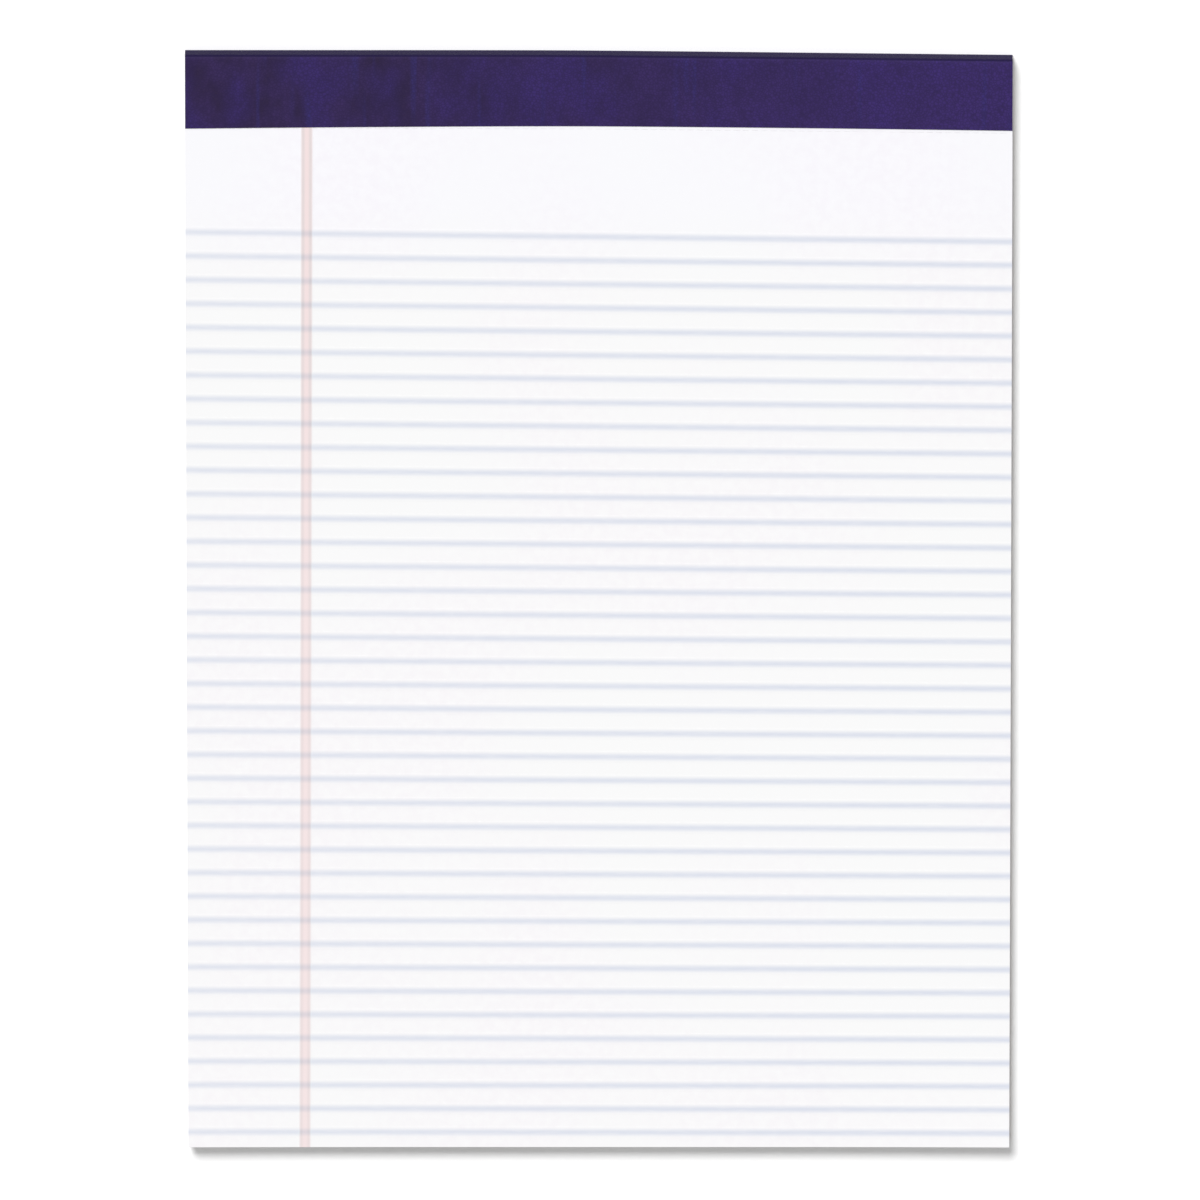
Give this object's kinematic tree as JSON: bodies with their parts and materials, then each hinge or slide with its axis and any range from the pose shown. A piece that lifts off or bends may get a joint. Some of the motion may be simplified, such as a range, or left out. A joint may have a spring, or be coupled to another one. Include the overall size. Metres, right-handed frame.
{
  "type": "legal pad",
  "caption": "Ruled white legal pad for handwriting: stapled tear-off sheets on a stiff board, with a dark binding tape folded over the head.",
  "frame": {"origin": "on the surface that the pad lies on, under the middle of the pad's outline", "axes": "+X across the sheet to its right edge, +Y up the page to the bound head, +Z through the thickness, out of the first sheet"},
  "size_m": [0.216, 0.2986, 0.0056],
  "materials": {
    "writing_paper": "matte",
    "chipboard": "matte",
    "binding_paper": "satin",
    "staple_wire": "satin"
  },
  "bodies": {
    "root": {"page_block": "writing_paper", "backboard": "chipboard", "binding_tape": "binding_paper", "staple_left": "staple_wire", "staple_centre": "staple_wire", "staple_right": "staple_wire"}
  },
  "joints": []
}
